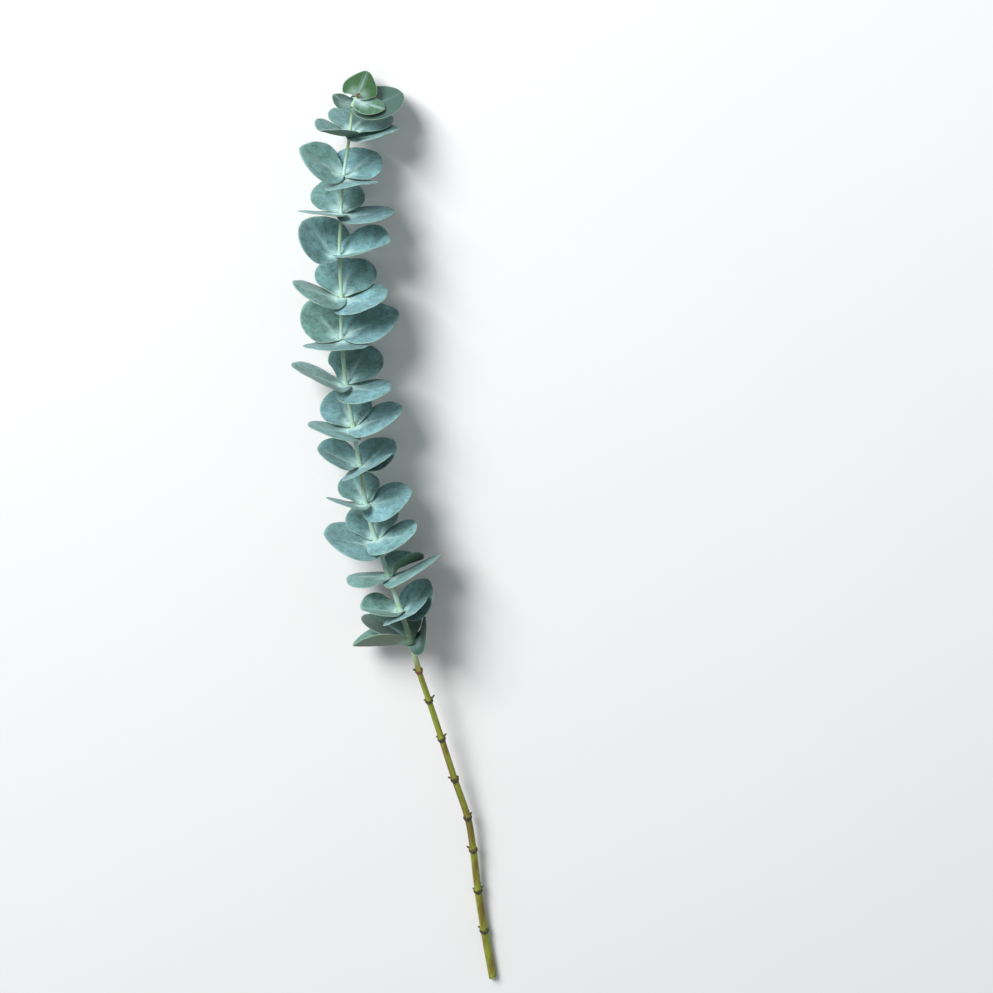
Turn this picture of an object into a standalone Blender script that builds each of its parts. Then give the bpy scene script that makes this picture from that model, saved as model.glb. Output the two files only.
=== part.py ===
"""A cut stem of baby blue eucalyptus, lying on a surface.

The scene is in metres with +Z up, and the sizes below are in millimetres and degrees. The shoot tip points
along +Y and the cut end along -Y. The stem rests on its cut end and on the leaves below it. The leaves
stand round the stem in whorls of three, a few of them with two, and each whorl is turned half a step from
the last.
"""

import math
import random
from collections import namedtuple

import bmesh
import bpy
from mathutils import Matrix, Vector

MM = 0.001

# The nodes of the stem, from the shoot tip down to the cut end.
LEAFY_NODES = (
    (-18.3, 299.0, 24.0),
    (-20.8, 294.0, 24.0),
    (-22.8, 277.5, 24.0),
    (-26.8, 253.5, 25.0),
    (-28.8, 231.0, 25.0),
    (-30.3, 205.5, 26.0),
    (-29.8, 180.0, 26.0),
    (-30.3, 154.5, 26.0),
    (-28.3, 125.0, 26.0),
    (-24.8, 98.0, 26.0),
    (-21.3, 72.5, 26.0),
    (-18.3, 47.5, 26.0),
    (-12.8, 23.5, 26.0),
    (-5.3, -1.5, 25.0),
    (1.7, -25.5, 25.0),
    (7.7, -47.5, 24.0),
)
BARE_NODES = (
    (12.2, -68.5, 22.5),
    (18.2, -91.0, 20.0),
    (25.7, -120.0, 17.0),
    (33.7, -151.5, 13.5),
    (41.7, -181.5, 10.3),
    (45.2, -207.5, 8.0),
    (48.2, -240.0, 5.5),
    (52.2, -272.0, 3.8),
)
CUT_END = (57.7, -309.0, 2.6)

# The stem.
TIP_RADIUS = 0.85
CUT_RADIUS = 2.65
TAPER = 1.3
STEM_SIDES = 10
PLAIN_STATIONS = 2
LEAFY_SWELL = 0.35
BARE_SWELL = 0.65
SWELL_REACH = 2.6
CUT_SLANT = 1.2

# The bud that ends the stem: distance beyond the last node and radius.
BUD_RINGS = ((3.0, 0.25), (2.3, 0.7), (1.4, 0.95), (0.7, 0.85))

# What is left of the stalks at the bare nodes: bare node, turn round the stem from the front, and length.
STUBS = (
    (0, 62, 1.5),
    (0, -70, 1.8),
    (1, 75, 3.6),
    (1, -62, 1.3),
    (1, 178, 2.2),
    (2, 84, 2.6),
    (2, -100, 1.2),
    (3, 64, 1.6),
    (3, -80, 1.9),
    (4, 96, 1.5),
    (4, -38, 1.2),
    (5, -86, 2.1),
    (5, 48, 1.1),
    (6, 82, 1.7),
    (6, -70, 1.1),
    (7, -96, 1.5),
    (7, 34, 1.1),
)
STUB_ROOT_RADIUS = 0.9
STUB_END_RADIUS = 0.55
STUB_SIDES = 6
STUB_LEAN = 48.0

# A leaf's outline: an ellipse round the stem, drawn out to a point at the tip and rounded at its two lobes.
BASE_SHARE = 0.09
TIP_SPREAD = 16.0
FULL_LOBE = 128.0
SHORT_LOBE = 88.0
WIDE_GAP = 150.0
LOBE_ROUNDING = 40.0
LOBE_END = 1.6

# A leaf's shape in space: it leaves the stem square, then rises, folds at its midrib and waves at its edge.
THICKNESS = 0.7
STEM_GAP = 0.5
RISE_REACH = 6.0
FOLD_REACH = 7.0
CREASE = 1.2
WAVE = 0.5
WAVES = 2.5
FLOOR_SOFTNESS = 1.0
LEAF_SEED = 7

# How finely a leaf is divided.
SECTORS = 16
TIP_CROWDING = 1.3
BANDS = 3
MIDRIB_STEPS = 40

# Each leaf: side, turn round the stem from the front, lift above square to the stem, seat along the stem from
# its node, length, width as a share of the length, point at the tip, fold of its left and right halves as seen
# from its tip, and curl along the midrib. A whorl's leaves are listed from the lowest seat to the highest.
WHORLS = (
    (
        ("right", 75, 10, -0.5, 16.4, 1.17, 0.9, -28, 21, -1),
        ("back", 180, 50, 0.8, 16.4, 1.24, 3.5, 21, -21, -3),
    ),
    (
        ("right", 114, 15, -1.6, 31, 1.05, 0.2, -7, 14, 21),
        ("left", -107, 21, 0.3, 12.6, 1.21, 0.7, 17, -17, 0),
    ),
    (
        ("right", 92, 24, -2, 26.8, 1.18, 2.3, 8, 10, -3),
        ("left", -45, 10, -0.4, 25, 1.14, 0.8, 24, 29, 7),
        ("back", 161, 11, 2.5, 32.5, 1.2, 1.2, 10, 5, 3),
    ),
    (
        ("front", 24, 14, -1.9, 27.1, 1.15, 2.5, -18, 2, 2),
        ("right", 141, 25, 0.4, 25.6, 1.23, 2.2, 2, 17, 1),
        ("left", -83, 25, 1.8, 26.9, 1.24, 2.8, 32, -17, 3),
    ),
    (
        ("right", 87, 9, -1.5, 28.7, 1.17, 2.5, 2, 0, 2),
        ("left", -61, 8, -0.1, 25.8, 1.18, 1.1, -12, 13, 1),
        ("back", 193, 24, 1.3, 28.3, 1.12, 1.2, 7, -3, 5),
    ),
    (
        ("left", -117, 49, -0.9, 30.3, 1.31, 0.6, 22, -1, -4),
        ("right", 74, 12, 1.4, 32, 1.28, 0.3, 12, 33, 14),
    ),
    (
        ("right", 59, 12, -1.8, 29.9, 1.16, 0.5, -9, 20, 1),
        ("left", -75, 26, 0, 29.7, 1.18, 1.1, -3, -7, 0),
        ("back", 171, 26, 1.6, 32.3, 1.16, 1.2, 10, 13, 1),
    ),
    (
        ("front", -10, 12, -1.6, 32.5, 1.19, 1.2, -1, 3, 4),
        ("left", -129, 38, 0.6, 29.4, 1.18, 1.8, 10, 0, 3),
        ("right", 106, 15, 2.3, 32.8, 1.22, 3.6, -5, 27, 4),
    ),
    (
        ("right", 54, 6, -1.6, 28.9, 1.16, 1.9, -7, 0, -5),
        ("left", -78, 36, 0.2, 34.3, 1.18, 1.2, 1, 7, -2),
        ("back", 155, 23, 1.9, 30.9, 1.15, 1.3, 3, 37, 1),
    ),
    (
        ("left", -56, 25, -1.8, 29, 1.19, 1.4, 6, -5, 0),
        ("right", 82, 19, 0.1, 31, 1.18, 2, -2, 10, -3),
        ("back", -162, 28, 1.8, 28.4, 1.13, 1.6, 12, 10, 4),
    ),
    (
        ("right", 129, 27, -1.2, 26.3, 1.19, 1.1, 1, 13, -2),
        ("front", 25, 22, 0.6, 28.7, 1.19, 1.2, -12, 15, -1),
        ("left", -93, 36, 1.9, 27.3, 1.19, 0.1, 18, 7, -1),
    ),
    (
        ("right", 78, 17, -1, 28.7, 1.15, 1.8, -23, 17, -4),
        ("left", -66, 30, 0.4, 24.8, 1.18, 1.2, -8, 8, 3),
        ("back", -161, 24, 2.1, 24.7, 1.1, 1.3, 19, 19, 3),
    ),
    (
        ("left", -73, 30, -1.6, 33.4, 1.18, 0.6, 19, -12, 8),
        ("right", 58, 8, 0.8, 29.8, 1.19, 1.2, -5, 8, 4),
        ("back", 179, 26, 2.1, 30, 1.18, 1.2, 17, 21, -1),
    ),
    (
        ("right", 77, 21, -1.4, 35.5, 1.17, 1.8, 7, -18, -4),
        ("left", -103, 6, 0.6, 26.2, 1.23, 0.2, -21, 7, 4),
        ("back", 124, -3, 1.9, 24.9, 1.2, 0.7, 50, 26, -12),
    ),
    (
        ("right", 115, 33, -1.4, 25.8, 1.21, 1.2, -12, 12, 5),
        ("front", 24, 20, 0.6, 27, 1.22, 1.3, -2, 18, 0),
        ("left", -70, 28, 2.4, 24.8, 1.24, 0.7, 29, 10, 0),
    ),
    (
        ("right", 83, 62, -1, 21.7, 1.15, 1.2, -18, 9, 7),
        ("left", -94, 0, 0.4, 34, 1.18, 2.5, 9, 54, 15),
        ("back", -136, 18, 3.4, 35, 1.22, 1.6, 5, 35, -4),
    ),
)
YOUNG_WHORLS = 1

STEM_COLOUR = (0.28, 0.36, 0.07)
LEAF_COLOUR = (0.14, 0.27, 0.23)
YOUNG_COLOUR = (0.10, 0.24, 0.10)
STEM_ROUGHNESS = 0.5
LEAF_ROUGHNESS = 0.6

Leaf = namedtuple("Leaf", "side turn lift seat length width point left_fold right_fold curl")


def material(name, colour, roughness):
    """A plain plant surface."""
    made = bpy.data.materials.new(name)
    made.use_nodes = True
    shader = made.node_tree.nodes["Principled BSDF"]
    shader.inputs["Base Color"].default_value = (*colour, 1.0)
    shader.inputs["Roughness"].default_value = roughness
    shader.inputs["Metallic"].default_value = 0.0
    made.diffuse_color = (*colour, 1.0)
    return made


def smooth_step(value):
    """0 below 0, 1 above 1 and an even curve between."""
    held = min(max(value, 0.0), 1.0)
    return held * held * (3.0 - 2.0 * held)


def stem_route():
    """The centre line's points, from the shoot tip to the cut end."""
    return [Vector(place) for place in LEAFY_NODES + BARE_NODES + (CUT_END,)]


def place_on(route, index, part):
    """The point, and the direction towards the tip, a part of the way from one node to the next."""
    before = route[max(index - 1, 0)]
    start = route[index]
    end = route[min(index + 1, len(route) - 1)]
    after = route[min(index + 2, len(route) - 1)]
    leave = (end - before) / 2
    arrive = (after - start) / 2
    square = part * part
    cube = square * part
    point = (
        start * (2 * cube - 3 * square + 1)
        + leave * (cube - 2 * square + part)
        + end * (3 * square - 2 * cube)
        + arrive * (cube - square)
    )
    along = (
        start * (6 * square - 6 * part)
        + leave * (3 * square - 4 * part + 1)
        + end * (6 * part - 6 * square)
        + arrive * (3 * square - 2 * part)
    )
    return point, -along.normalized()


def across(along):
    """The directions to the front and to the right of the stem, square to it."""
    up = Vector((0.0, 0.0, 1.0))
    front = (up - along * up.dot(along)).normalized()
    return front, along.cross(front)


def outward_at(along, turn):
    """The direction away from the stem at an angle round it from the front."""
    front, right = across(along)
    angle = math.radians(turn)
    return front * math.cos(angle) + right * math.sin(angle)


def plain_radius(point):
    """The stem's radius between its nodes."""
    top = LEAFY_NODES[0][1]
    share = max(top - point.y, 0.0) / (top - CUT_END[1])
    return TIP_RADIUS + (CUT_RADIUS - TIP_RADIUS) * share**TAPER


def swell_at(index):
    """How far the stem stands out at a node."""
    if index < len(LEAFY_NODES):
        return LEAFY_SWELL
    if index < len(LEAFY_NODES) + len(BARE_NODES):
        return BARE_SWELL
    return 0.0


def stem_offsets(length, to_node):
    """Distances of the rings below a node, closer together where the stem swells."""
    last = length - SWELL_REACH
    if last <= SWELL_REACH:
        return [0.0, SWELL_REACH / 2]
    plain = (last - SWELL_REACH) / (PLAIN_STATIONS + 1)
    offsets = [0.0, SWELL_REACH / 2, SWELL_REACH]
    offsets += [SWELL_REACH + plain * step for step in range(1, PLAIN_STATIONS + 1)]
    return offsets + [last, length - SWELL_REACH / 2] if to_node else offsets + [last]


def stem_stations(route):
    """Point, direction and radius of each ring along the stem."""
    start, along = place_on(route, 0, 0.0)
    stations = [(start + along * beyond, along, radius) for beyond, radius in BUD_RINGS]
    for index in range(len(route) - 1):
        length = (route[index + 1] - route[index]).length
        for offset in stem_offsets(length, index < len(route) - 2):
            point, along = place_on(route, index, offset / length)
            near = swell_at(index) * (1 - smooth_step(offset / SWELL_REACH))
            near += swell_at(index + 1) * (1 - smooth_step((length - offset) / SWELL_REACH))
            stations.append((point, along, plain_radius(point) + near))
    point, along = place_on(route, len(route) - 2, 1.0)
    stations.append((point, along, CUT_RADIUS))
    return stations


def add_object(name, mesh, surface):
    """An object of one closed mesh with its material."""
    mesh.materials.append(surface)
    made = bpy.data.objects.new(name, mesh)
    bpy.context.scene.collection.objects.link(made)
    return made


def make_stem(route, surface):
    """One tapered tube with a swelling at each node and a slanted cut."""
    shape = bmesh.new()
    rings = []
    stations = stem_stations(route)
    for number, (point, along, radius) in enumerate(stations):
        slant = CUT_SLANT if number == len(stations) - 1 else 0.0
        ring = []
        for side in range(STEM_SIDES):
            turn = 360 * (side + 0.5) / STEM_SIDES
            lean = along * slant * math.sin(math.radians(turn))
            ring.append(shape.verts.new((point + outward_at(along, turn) * radius + lean) * MM))
        rings.append(ring)
    for upper, lower in zip(rings, rings[1:]):
        for side in range(STEM_SIDES):
            beside = (side + 1) % STEM_SIDES
            shape.faces.new((upper[side], upper[beside], lower[beside], lower[side]))
    shape.faces.new(rings[0])
    shape.faces.new(rings[-1])
    bmesh.ops.recalc_face_normals(shape, faces=shape.faces)
    mesh = bpy.data.meshes.new("stem")
    shape.to_mesh(mesh)
    shape.free()
    return add_object("stem", mesh, surface)


def make_stubs(route, surface):
    """The short broken stalks at the bare nodes, each rooted in the middle of the stem."""
    group = bpy.data.collections.new("stubs")
    for number, turn, length in STUBS:
        node, along = place_on(route, len(LEAFY_NODES) + number, 0.0)
        lean = math.radians(STUB_LEAN)
        points_to = outward_at(along, turn) * math.sin(lean) + along * math.cos(lean)
        reach = plain_radius(node) / math.sin(lean) + length
        turned = points_to.to_track_quat("Z", "Y").to_matrix().to_4x4()
        shape = bmesh.new()
        bmesh.ops.create_cone(
            shape,
            cap_ends=True,
            segments=STUB_SIDES,
            radius1=STUB_ROOT_RADIUS * MM,
            radius2=STUB_END_RADIUS * MM,
            depth=reach * MM,
            matrix=Matrix.Translation((node + points_to * reach / 2) * MM) @ turned,
        )
        mesh = bpy.data.meshes.new("stub")
        shape.to_mesh(mesh)
        shape.free()
        mesh.materials.append(surface)
        group.objects.link(bpy.data.objects.new("stub", mesh))
    return group


def fuse(stem, group):
    """Joins the stubs to the stem as one body."""
    joint = stem.modifiers.new("stubs", "BOOLEAN")
    joint.operation = "UNION"
    joint.operand_type = "COLLECTION"
    joint.collection = group
    joint.solver = "EXACT"
    graph = bpy.context.evaluated_depsgraph_get()
    joined = bpy.data.meshes.new_from_object(stem.evaluated_get(graph), depsgraph=graph)
    stem.modifiers.clear()
    stem.data = joined
    joined.shade_smooth()
    for stub in list(group.objects):
        bpy.data.objects.remove(stub)
    bpy.data.collections.remove(group)


def outline_radius(angle, spec, lobe, inner):
    """Distance from the stem's axis to a leaf's edge, in a direction given from its midrib."""
    back = BASE_SHARE * spec.length
    half_length = (spec.length + back) / 2
    centre = (spec.length - back) / 2
    forward = math.cos(angle) / half_length
    sideways = math.sin(angle) / (spec.length * spec.width / 2)
    square = forward * forward + sideways * sideways
    linear = forward * centre / half_length
    constant = (centre / half_length) ** 2 - 1
    reach = (linear + math.sqrt(linear * linear - square * constant)) / square
    reach += spec.point * math.exp(-((math.degrees(angle) / TIP_SPREAD) ** 2))
    rounding = math.radians(LOBE_ROUNDING)
    late = min(max((abs(angle) - (lobe - rounding)) / rounding, 0.0), 1.0)
    least = inner + LOBE_END
    return least + (max(reach, least) - least) * math.sqrt(1 - late * late)


def midrib_curve(spec, reach, inner):
    """Distance out from the stem, height and slope at even steps along a leaf's midrib."""
    lift = math.radians(spec.lift)
    curl = math.radians(spec.curl)
    out = 0.0
    rise = 0.0
    step = reach / MIDRIB_STEPS
    curve = [(0.0, 0.0, 0.0)]
    for number in range(1, MIDRIB_STEPS + 1):
        reached = (number - 0.5) * step
        slope = lift * smooth_step((reached - inner) / RISE_REACH) + curl * reached / spec.length
        out += math.cos(slope) * step
        rise += math.sin(slope) * step
        curve.append((out, rise, slope))
    return curve, step


def leaf_spot(angle, reach, inner, spec, curve, step, phase):
    """A flat leaf's point folded and lifted: distance out, sideways and up the stem."""
    along_rib = reach * math.cos(angle)
    beside_rib = reach * math.sin(angle)
    fold = spec.left_fold if angle < 0 else spec.right_fold
    tilt = math.radians(fold) * smooth_step((reach - inner) / FOLD_REACH)
    wide = math.sqrt(beside_rib**2 + CREASE**2) - CREASE
    height = wide * math.sin(tilt)
    height += WAVE * math.sin(WAVES * angle + phase) * ((reach - inner) / spec.length) ** 2
    side = math.copysign(wide * math.cos(tilt) + abs(beside_rib) - wide, angle)
    if along_rib <= 0.0:
        return along_rib, side, height
    first = min(int(along_rib / step), MIDRIB_STEPS - 1)
    part = along_rib / step - first
    out, rise, slope = (a + (b - a) * part for a, b in zip(curve[first], curve[first + 1]))
    return out - height * math.sin(slope), side, rise + height * math.cos(slope)


def settle(height):
    """Keeps a point off the surface: what would reach below lies flat on it."""
    lowest = THICKNESS / 2
    above = height - lowest
    if above > FLOOR_SOFTNESS:
        return height
    if above < -FLOOR_SOFTNESS:
        return lowest
    return lowest + (above + FLOOR_SOFTNESS) ** 2 / (4 * FLOOR_SOFTNESS)


def make_leaf(name, route, index, spec, lobes, chance, surface):
    """One leaf: a thin round blade with a folded midrib, whose lobes clasp the stem."""
    node, along = place_on(route, index, 0.0)
    outward = outward_at(along, spec.turn)
    sideways = along.cross(outward)
    seat = node + along * spec.seat
    inner = plain_radius(node) + LEAFY_SWELL + STEM_GAP
    phase = chance.uniform(0.0, math.tau)
    curve, step = midrib_curve(spec, spec.length + spec.point, inner)
    shape = bmesh.new()
    rows = []
    for sector in range(SECTORS + 1):
        spread = 2 * sector / SECTORS - 1
        hand = int(spread > 0)
        lobe = math.radians(lobes[hand])
        angle = math.copysign(lobe * abs(spread) ** TIP_CROWDING, spread)
        outer = outline_radius(angle, spec, lobe, inner)
        row = []
        for band in range(BANDS + 1):
            reach = inner + (outer - inner) * band / BANDS
            out, side, up = leaf_spot(angle, reach, inner, spec, curve, step, phase)
            spot = seat + outward * out + sideways * side + along * up
            spot.z = settle(spot.z)
            row.append(shape.verts.new(spot * MM))
        rows.append(row)
    for row, following in zip(rows, rows[1:]):
        for band in range(BANDS):
            shape.faces.new((row[band], row[band + 1], following[band + 1], following[band]))
    bmesh.ops.triangulate(shape, faces=shape.faces)
    mesh = bpy.data.meshes.new(name)
    shape.to_mesh(mesh)
    shape.free()
    mesh.shade_smooth()
    leaf = add_object(name, mesh, surface)
    wall = leaf.modifiers.new("thickness", "SOLIDIFY")
    wall.thickness = THICKNESS * MM
    wall.offset = 0.0


def lobe_angles(place, whorl):
    """How far round the stem a leaf's left and right lobes reach: long where nothing lower is in the way."""
    angles = []
    for hand in (-1, 1):
        ways = [((hand * (whorl[place].turn - leaf.turn)) % 360, other) for other, leaf in enumerate(whorl)]
        gap, beside = min(way for way in ways if way[1] != place)
        clear = beside > place or gap > WIDE_GAP
        angles.append(FULL_LOBE if clear else SHORT_LOBE)
    return angles


def build():
    for old in list(bpy.data.objects):
        bpy.data.objects.remove(old)
    bark = material("stem_green", STEM_COLOUR, STEM_ROUGHNESS)
    blade = material("leaf_blue_green", LEAF_COLOUR, LEAF_ROUGHNESS)
    young = material("leaf_young_green", YOUNG_COLOUR, LEAF_ROUGHNESS)
    route = stem_route()
    stem = make_stem(route, bark)
    fuse(stem, make_stubs(route, bark))
    chance = random.Random(LEAF_SEED)
    for index, rows in enumerate(WHORLS):
        whorl = [Leaf(*row) for row in rows]
        surface = young if index < YOUNG_WHORLS else blade
        for place, spec in enumerate(whorl):
            name = f"leaf_{index + 1:02d}_{spec.side}"
            make_leaf(name, route, index, spec, lobe_angles(place, whorl), chance, surface)


build()
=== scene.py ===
# %% [markdown]
# # A cut stem of baby blue eucalyptus
# The object is one cut stem lying on a surface: a thin green stem that carries whorls of round, waxy leaves
# for its upper half and is bare below. The solid model, which is the frame here, has the stem and each leaf
# in place at their real size. This script dresses them: a finer mesh for each, and materials for wax, veins,
# bark and cut wood. Everything is in metres with +Z up, and the shoot tip points along +Y.

# %% Load the frame
import math
import random
from collections import namedtuple

import bmesh
import bpy
from mathutils import Matrix, Vector, noise


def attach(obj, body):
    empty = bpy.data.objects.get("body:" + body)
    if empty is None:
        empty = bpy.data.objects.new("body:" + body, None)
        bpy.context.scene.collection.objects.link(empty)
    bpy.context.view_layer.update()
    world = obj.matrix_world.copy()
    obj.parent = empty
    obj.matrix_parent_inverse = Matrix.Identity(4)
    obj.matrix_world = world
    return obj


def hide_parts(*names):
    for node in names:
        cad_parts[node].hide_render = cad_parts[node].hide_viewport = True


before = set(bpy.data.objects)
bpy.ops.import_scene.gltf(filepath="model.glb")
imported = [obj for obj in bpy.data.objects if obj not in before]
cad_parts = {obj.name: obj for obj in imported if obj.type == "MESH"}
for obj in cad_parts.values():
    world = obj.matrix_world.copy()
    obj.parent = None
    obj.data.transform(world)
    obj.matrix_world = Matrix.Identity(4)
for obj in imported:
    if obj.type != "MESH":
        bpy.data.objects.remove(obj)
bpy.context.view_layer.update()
MM = 0.001
print("nodes in the frame:", len(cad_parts))

# %% [markdown]
# ## The stem's line
# A stem can be drawn as a curve through its nodes, the joints where leaves grow. The nodes below are the ones
# that the solid stem was built on, in millimetres from the middle of the object, so that the fine stem and
# the leaves keep to the frame. Between nodes, a Hermite curve gives a smooth line and its direction.

# %% The nodes and the curve through them
LEAFY_NODES = (
    (-18.3, 299.0, 24.0),
    (-20.8, 294.0, 24.0),
    (-22.8, 277.5, 24.0),
    (-26.8, 253.5, 25.0),
    (-28.8, 231.0, 25.0),
    (-30.3, 205.5, 26.0),
    (-29.8, 180.0, 26.0),
    (-30.3, 154.5, 26.0),
    (-28.3, 125.0, 26.0),
    (-24.8, 98.0, 26.0),
    (-21.3, 72.5, 26.0),
    (-18.3, 47.5, 26.0),
    (-12.8, 23.5, 26.0),
    (-5.3, -1.5, 25.0),
    (1.7, -25.5, 25.0),
    (7.7, -47.5, 24.0),
)
BARE_NODES = (
    (12.2, -68.5, 22.5),
    (18.2, -91.0, 20.0),
    (25.7, -120.0, 17.0),
    (33.7, -151.5, 13.5),
    (41.7, -181.5, 10.3),
    (45.2, -207.5, 8.0),
    (48.2, -240.0, 5.5),
    (52.2, -272.0, 3.8),
)
CUT_END = (57.7, -309.0, 2.6)
route = [Vector(place) for place in LEAFY_NODES + BARE_NODES + (CUT_END,)]


def place_on(index, part):
    """The point, and the direction towards the tip, a part of the way from one node to the next."""
    before = route[max(index - 1, 0)]
    start = route[index]
    end = route[min(index + 1, len(route) - 1)]
    after = route[min(index + 2, len(route) - 1)]
    leave = (end - before) / 2
    arrive = (after - start) / 2
    square = part * part
    cube = square * part
    point = (
        start * (2 * cube - 3 * square + 1)
        + leave * (cube - 2 * square + part)
        + end * (3 * square - 2 * cube)
        + arrive * (cube - square)
    )
    along = (
        start * (6 * square - 6 * part)
        + leave * (3 * square - 4 * part + 1)
        + end * (6 * part - 6 * square)
        + arrive * (3 * square - 2 * part)
    )
    return point, -along.normalized()


def outward_at(along, turn):
    """The direction away from the stem at an angle round it, counted from the side that faces up."""
    up = Vector((0.0, 0.0, 1.0))
    front = (up - along * up.dot(along)).normalized()
    angle = math.radians(turn)
    return front * math.cos(angle) + along.cross(front) * math.sin(angle)


def smooth_step(value):
    """0 below 0, 1 above 1 and an even curve between."""
    held = min(max(value, 0.0), 1.0)
    return held * held * (3.0 - 2.0 * held)


stem_length = sum((b - a).length for a, b in zip(route, route[1:]))
print("stem length along its nodes, mm:", round(stem_length))

# %% [markdown]
# ## The stem's thickness
# The stem is 5.3 mm across at its cut end and thins to 1.7 mm at the tip. It swells a little at each node,
# and more at the bare ones, where the scars of the lost leaves stand out as a ring.

# %% How thick the stem is
TIP_RADIUS = 0.85
CUT_RADIUS = 2.65
TAPER = 1.3
LEAFY_SWELL = 0.35
BARE_SWELL = 0.65
SWELL_REACH = 2.6


def plain_radius(point):
    """The stem's radius between its nodes, in millimetres."""
    top = LEAFY_NODES[0][1]
    share = max(top - point.y, 0.0) / (top - CUT_END[1])
    return TIP_RADIUS + (CUT_RADIUS - TIP_RADIUS) * share**TAPER


def swell_at(index):
    """How far the stem stands out at a node."""
    if index < len(LEAFY_NODES):
        return LEAFY_SWELL
    if index < len(route) - 1:
        return BARE_SWELL
    return 0.0


print("radius half way, mm:", round(plain_radius(Vector((0.0, 0.0, 0.0))), 2))

# %% [markdown]
# ## Where the leaves stand
# Each group below is one whorl, from the tip down. A leaf in it has its side, its turn round the stem, the lift
# of its blade, its seat along the stem from the node, its length, its width as a share of that, the point at
# its tip, the fold of its left and right halves, and a curl, in degrees and millimetres. These are the values
# that shaped the solid leaves, so each fine leaf keeps the form of the solid that it replaces.

# %% The leaves' places
WHORLS = (
    (
        ("right", 75, 10, -0.5, 16.4, 1.17, 0.9, -28, 21, -1),
        ("back", 180, 50, 0.8, 16.4, 1.24, 3.5, 21, -21, -3),
    ),
    (
        ("right", 114, 15, -1.6, 31, 1.05, 0.2, -7, 14, 21),
        ("left", -107, 21, 0.3, 12.6, 1.21, 0.7, 17, -17, 0),
    ),
    (
        ("right", 92, 24, -2, 26.8, 1.18, 2.3, 8, 10, -3),
        ("left", -45, 10, -0.4, 25, 1.14, 0.8, 24, 29, 7),
        ("back", 161, 11, 2.5, 32.5, 1.2, 1.2, 10, 5, 3),
    ),
    (
        ("front", 24, 14, -1.9, 27.1, 1.15, 2.5, -18, 2, 2),
        ("right", 141, 25, 0.4, 25.6, 1.23, 2.2, 2, 17, 1),
        ("left", -83, 25, 1.8, 26.9, 1.24, 2.8, 32, -17, 3),
    ),
    (
        ("right", 87, 9, -1.5, 28.7, 1.17, 2.5, 2, 0, 2),
        ("left", -61, 8, -0.1, 25.8, 1.18, 1.1, -12, 13, 1),
        ("back", 193, 24, 1.3, 28.3, 1.12, 1.2, 7, -3, 5),
    ),
    (
        ("left", -117, 49, -0.9, 30.3, 1.31, 0.6, 22, -1, -4),
        ("right", 74, 12, 1.4, 32, 1.28, 0.3, 12, 33, 14),
    ),
    (
        ("right", 59, 12, -1.8, 29.9, 1.16, 0.5, -9, 20, 1),
        ("left", -75, 26, 0, 29.7, 1.18, 1.1, -3, -7, 0),
        ("back", 171, 26, 1.6, 32.3, 1.16, 1.2, 10, 13, 1),
    ),
    (
        ("front", -10, 12, -1.6, 32.5, 1.19, 1.2, -1, 3, 4),
        ("left", -129, 38, 0.6, 29.4, 1.18, 1.8, 10, 0, 3),
        ("right", 106, 15, 2.3, 32.8, 1.22, 3.6, -5, 27, 4),
    ),
    (
        ("right", 54, 6, -1.6, 28.9, 1.16, 1.9, -7, 0, -5),
        ("left", -78, 36, 0.2, 34.3, 1.18, 1.2, 1, 7, -2),
        ("back", 155, 23, 1.9, 30.9, 1.15, 1.3, 3, 37, 1),
    ),
    (
        ("left", -56, 25, -1.8, 29, 1.19, 1.4, 6, -5, 0),
        ("right", 82, 19, 0.1, 31, 1.18, 2, -2, 10, -3),
        ("back", -162, 28, 1.8, 28.4, 1.13, 1.6, 12, 10, 4),
    ),
    (
        ("right", 129, 27, -1.2, 26.3, 1.19, 1.1, 1, 13, -2),
        ("front", 25, 22, 0.6, 28.7, 1.19, 1.2, -12, 15, -1),
        ("left", -93, 36, 1.9, 27.3, 1.19, 0.1, 18, 7, -1),
    ),
    (
        ("right", 78, 17, -1, 28.7, 1.15, 1.8, -23, 17, -4),
        ("left", -66, 30, 0.4, 24.8, 1.18, 1.2, -8, 8, 3),
        ("back", -161, 24, 2.1, 24.7, 1.1, 1.3, 19, 19, 3),
    ),
    (
        ("left", -73, 30, -1.6, 33.4, 1.18, 0.6, 19, -12, 8),
        ("right", 58, 8, 0.8, 29.8, 1.19, 1.2, -5, 8, 4),
        ("back", 179, 26, 2.1, 30, 1.18, 1.2, 17, 21, -1),
    ),
    (
        ("right", 77, 21, -1.4, 35.5, 1.17, 1.8, 7, -18, -4),
        ("left", -103, 6, 0.6, 26.2, 1.23, 0.2, -21, 7, 4),
        ("back", 124, -3, 1.9, 24.9, 1.2, 0.7, 50, 26, -12),
    ),
    (
        ("right", 115, 33, -1.4, 25.8, 1.21, 1.2, -12, 12, 5),
        ("front", 24, 20, 0.6, 27, 1.22, 1.3, -2, 18, 0),
        ("left", -70, 28, 2.4, 24.8, 1.24, 0.7, 29, 10, 0),
    ),
    (
        ("right", 83, 62, -1, 21.7, 1.15, 1.2, -18, 9, 7),
        ("left", -94, 0, 0.4, 34, 1.18, 2.5, 9, 54, 15),
        ("back", -136, 18, 3.4, 35, 1.22, 1.6, 5, 35, -4),
    ),
)
Leaf = namedtuple("Leaf", "side turn lift seat length width point left_fold right_fold curl")
whorls = [[Leaf(*row) for row in rows] for rows in WHORLS]
print("leaves:", sum(len(whorl) for whorl in whorls))

# %% [markdown]
# ## The outline of a leaf
# A juvenile eucalyptus leaf has no stalk. Its blade is wider than it is long, clasps the stem with two round
# lobes and ends in a small blunt point. A formula in polar form, distance from the stem by angle from the
# midrib, gives this outline in one line, and the lobes are rounded off where they end.

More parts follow.
